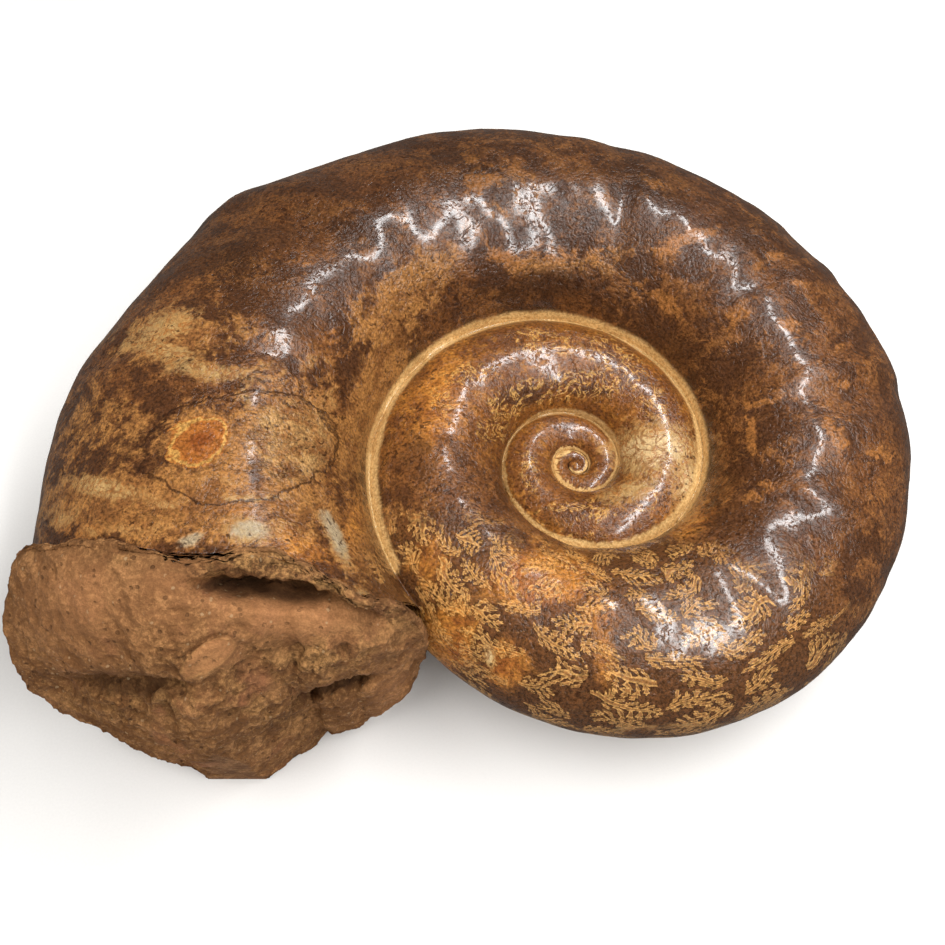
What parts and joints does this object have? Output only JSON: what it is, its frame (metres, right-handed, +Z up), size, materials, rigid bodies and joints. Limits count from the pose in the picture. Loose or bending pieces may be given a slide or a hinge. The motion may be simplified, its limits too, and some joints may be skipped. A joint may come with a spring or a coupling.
{
  "type": "fossil ammonite",
  "caption": "Large polished fossil ammonite lying flat: an open coil of round whorls, broken off at the mouth, with rough sandstone filling and standing out of it.",
  "frame": {"origin": "On the resting plane, under the middle of the bounding box.", "axes": "+X along the greatest length, from the mouth's side to the opposite edge. +Y away from the broken mouth, which faces -Y. +Z up, the fossil lying on its flat side with its coil facing up."},
  "size_m": [0.3827, 0.3147, 0.1408],
  "materials": {
    "polished_fossil": "polished",
    "sandstone": "rough, broken"
  },
  "bodies": {
    "root": {"ammonite": "polished_fossil", "sandstone_matrix": "sandstone"}
  },
  "joints": []
}
